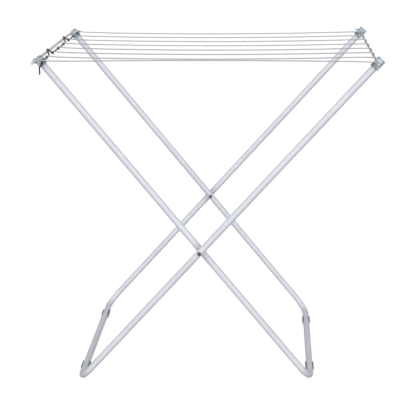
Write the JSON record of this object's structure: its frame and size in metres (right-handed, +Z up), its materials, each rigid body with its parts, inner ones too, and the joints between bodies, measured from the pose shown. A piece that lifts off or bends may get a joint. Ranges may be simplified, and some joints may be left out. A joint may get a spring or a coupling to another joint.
{
  "type": "clothes drying rack",
  "caption": "Folding X-shaped clothes drying rack: two crossed bent-tube frames on pivot screws, with cords stretched at the top between a hooked wire and a rod, and clip-on feet.",
  "frame": {"origin": "on the floor, below the middle of the overall box", "axes": "+Z up; X from the row of cord ends on the inner frame to the row on the outer frame; Y along the foot bars, with the bar's free end at -Y"},
  "size_m": [0.953, 0.735, 0.9638],
  "materials": {
    "frame_paint": "satin lavender-grey powder coat",
    "connector_plastic": "cloudy translucent blue-grey",
    "pin_steel": "dull zinc",
    "pivot_dark": "dark satin",
    "spacer_plastic": "matt grey",
    "foot_plastic": "matt dark grey",
    "cord_vinyl": "smooth vinyl skin",
    "bar_paint": "satin light grey paint",
    "cap_plastic": "smooth off-white with a pink tint",
    "rod_steel": "dull drawn steel",
    "wire_dark": "dark vinyl dip"
  },
  "bodies": {
    "outer": {"outer_frame": "frame_paint", "hanging_rod": "rod_steel", "outer_connector_front": "connector_plastic", "outer_pin_front": "pin_steel", "pivot_screw_front": "pivot_dark", "pivot_spacer_front": "spacer_plastic", "pivot_nut_front": "pivot_dark", "outer_foot_front": "foot_plastic", "outer_connector_rear": "connector_plastic", "outer_pin_rear": "pin_steel", "pivot_screw_rear": "pivot_dark", "pivot_spacer_rear": "spacer_plastic", "pivot_nut_rear": "pivot_dark", "outer_foot_rear": "foot_plastic", "line_1": "cord_vinyl", "line_2": "cord_vinyl", "line_3": "cord_vinyl", "line_4": "cord_vinyl", "line_5": "cord_vinyl", "line_6": "cord_vinyl", "line_7": "cord_vinyl", "line_8": "cord_vinyl"},
    "inner": {"inner_frame": "frame_paint", "hanging_bar": "bar_paint", "bar_cap_front": "cap_plastic", "bar_cap_rear": "cap_plastic", "inner_connector_front": "connector_plastic", "inner_pin_front": "pin_steel", "inner_foot_front": "foot_plastic", "inner_connector_rear": "connector_plastic", "inner_pin_rear": "pin_steel", "inner_foot_rear": "foot_plastic"},
    "hook": {"hook_wire": "wire_dark"}
  },
  "joints": [
    {"name": "fold", "type": "hinge", "parent": "outer", "child": "inner", "pos_m": [-0.02267, 0.0205, 0.4054], "axis": [0, 1, 0], "range_deg": [0, 78], "deforming": ["line_1", "line_2", "line_3", "line_4", "line_5", "line_6", "line_7", "line_8"]},
    {"name": "hook_turn", "type": "hinge", "parent": "inner", "child": "hook", "pos_m": [-0.4486, 0.0205, 0.948], "axis": [0, 1, 0], "range_deg": [0, 40]}
  ]
}
